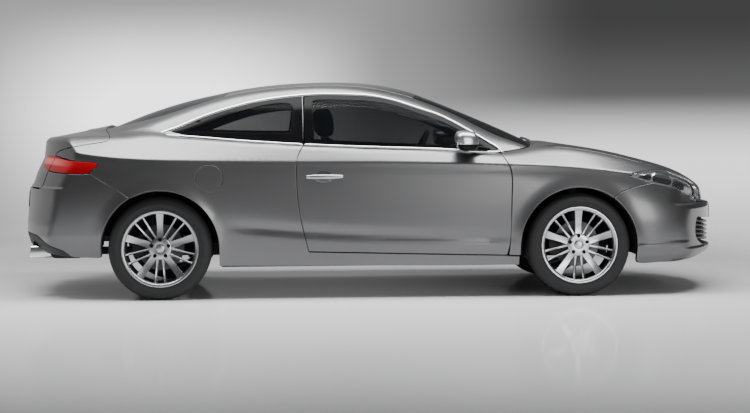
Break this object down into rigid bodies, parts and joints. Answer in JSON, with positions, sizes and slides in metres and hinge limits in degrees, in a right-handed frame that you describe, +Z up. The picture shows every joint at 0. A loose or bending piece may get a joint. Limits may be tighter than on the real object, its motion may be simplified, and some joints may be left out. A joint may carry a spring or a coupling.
{
  "type": "coupe car",
  "caption": "Two-door coupe car on four wheels with opening doors, bonnet, boot lid and fuel flap, coupled front steering and a hollow cabin with seats and dashboard.",
  "frame": {"origin": "on the ground under the middle of the overall length and width", "axes": "+X to the nose, +Y to the left side, +Z up"},
  "size_m": [4.643, 1.965, 1.397],
  "materials": {
    "paint": "metallic clear coat",
    "under": "satin",
    "glass": "clear, dark tint",
    "lamp": "clear cover over a dark inside",
    "tail_lamp": "red cover",
    "black_plastic": "satin",
    "gloss_black": "gloss",
    "plate": "satin, blank",
    "steel": "satin",
    "iron": "rough",
    "wheel": "machined, clear coat",
    "tyre": "matt",
    "trim": "soft grain",
    "seat": "satin"
  },
  "bodies": {
    "chassis": {"roof_panel": "paint", "windscreen": "glass", "rear_window": "glass", "quarter_windows": "glass", "front_bumper": "paint", "front_grille": "gloss_black", "headlamps": "lamp", "front_fender_right": "paint", "front_fender_left": "paint", "cowl": "black_plastic", "bulkhead": "under", "rear_bumper": "paint", "tail_lamps": "tail_lamp", "body_side_right": "paint", "body_side_left": "paint", "floor_pan": "under", "boot_tub": "under", "wheel_arch_liners": "black_plastic", "number_plates": "plate", "exhaust": "steel", "front_subframe": "iron", "rear_axle": "iron", "engine_block": "iron", "dashboard": "trim", "front_seats": "seat", "rear_seat": "seat"},
    "door_right": {"door_right": "paint", "door_window_right": "glass", "door_mirror_right": "gloss_black"},
    "door_left": {"door_left": "paint", "door_window_left": "glass", "door_mirror_left": "gloss_black"},
    "bonnet": {"bonnet": "paint"},
    "boot_lid": {"boot_lid": "paint"},
    "fuel_flap": {"fuel_flap": "paint"},
    "steering_wheel": {"steering_wheel": "trim"},
    "knuckle_right": {"front_knuckle_right": "iron"},
    "knuckle_left": {"front_knuckle_left": "iron"},
    "wheel_front_right": {"front_wheel_right": "wheel", "front_tyre_right": "tyre"},
    "wheel_front_left": {"front_wheel_left": "wheel", "front_tyre_left": "tyre"},
    "wheel_rear_right": {"rear_wheel_right": "wheel", "rear_tyre_right": "tyre"},
    "wheel_rear_left": {"rear_wheel_left": "wheel", "rear_tyre_left": "tyre"}
  },
  "joints": [
    {"name": "door_right_hinge", "type": "hinge", "parent": "chassis", "child": "door_right", "pos_m": [0.79, -0.866, 0.57], "axis": [0, 0, 1], "range_deg": [0, 62]},
    {"name": "door_left_hinge", "type": "hinge", "parent": "chassis", "child": "door_left", "pos_m": [0.79, 0.866, 0.57], "axis": [0, 0, -1], "range_deg": [0, 62]},
    {"name": "bonnet_hinge", "type": "hinge", "parent": "chassis", "child": "bonnet", "pos_m": [1.235, 0, 0.984], "axis": [0, -1, 0], "range_deg": [0, 50]},
    {"name": "boot_lid_hinge", "type": "hinge", "parent": "chassis", "child": "boot_lid", "pos_m": [-1.758, 0, 1.099], "axis": [0, 1, 0], "range_deg": [0, 70]},
    {"name": "fuel_flap_hinge", "type": "hinge", "parent": "chassis", "child": "fuel_flap", "pos_m": [-0.998, -0.903, 0.779], "axis": [0, 0, 1], "range_deg": [0, 85]},
    {"name": "steer_right", "type": "hinge", "parent": "chassis", "child": "knuckle_right", "pos_m": [1.3045, -0.701, 0.331], "axis": [0, 0, 1], "range_deg": [-30, 30]},
    {"name": "steer_left", "type": "hinge", "parent": "chassis", "child": "knuckle_left", "pos_m": [1.3045, 0.701, 0.331], "axis": [0, 0, 1], "range_deg": [-30, 30]},
    {"name": "steering_wheel_turn", "type": "hinge", "parent": "chassis", "child": "steering_wheel", "pos_m": [0.351, 0.365, 0.896], "axis": [-0.9063, 0, 0.4226], "range_deg": [-450, 450]},
    {"name": "wheel_front_right_spin", "type": "hinge", "parent": "knuckle_right", "child": "wheel_front_right", "pos_m": [1.3045, -0.78, 0.331], "axis": [0, 1, 0], "continuous": true},
    {"name": "wheel_front_left_spin", "type": "hinge", "parent": "knuckle_left", "child": "wheel_front_left", "pos_m": [1.3045, 0.78, 0.331], "axis": [0, 1, 0], "continuous": true},
    {"name": "wheel_rear_right_spin", "type": "hinge", "parent": "chassis", "child": "wheel_rear_right", "pos_m": [-1.3885, -0.78, 0.331], "axis": [0, 1, 0], "continuous": true},
    {"name": "wheel_rear_left_spin", "type": "hinge", "parent": "chassis", "child": "wheel_rear_left", "pos_m": [-1.3885, 0.78, 0.331], "axis": [0, 1, 0], "continuous": true}
  ],
  "couplings": [
    {"joint": "steer_left", "follows": "steer_right", "ratio": 1},
    {"joint": "steering_wheel_turn", "follows": "steer_right", "ratio": 14.8}
  ]
}
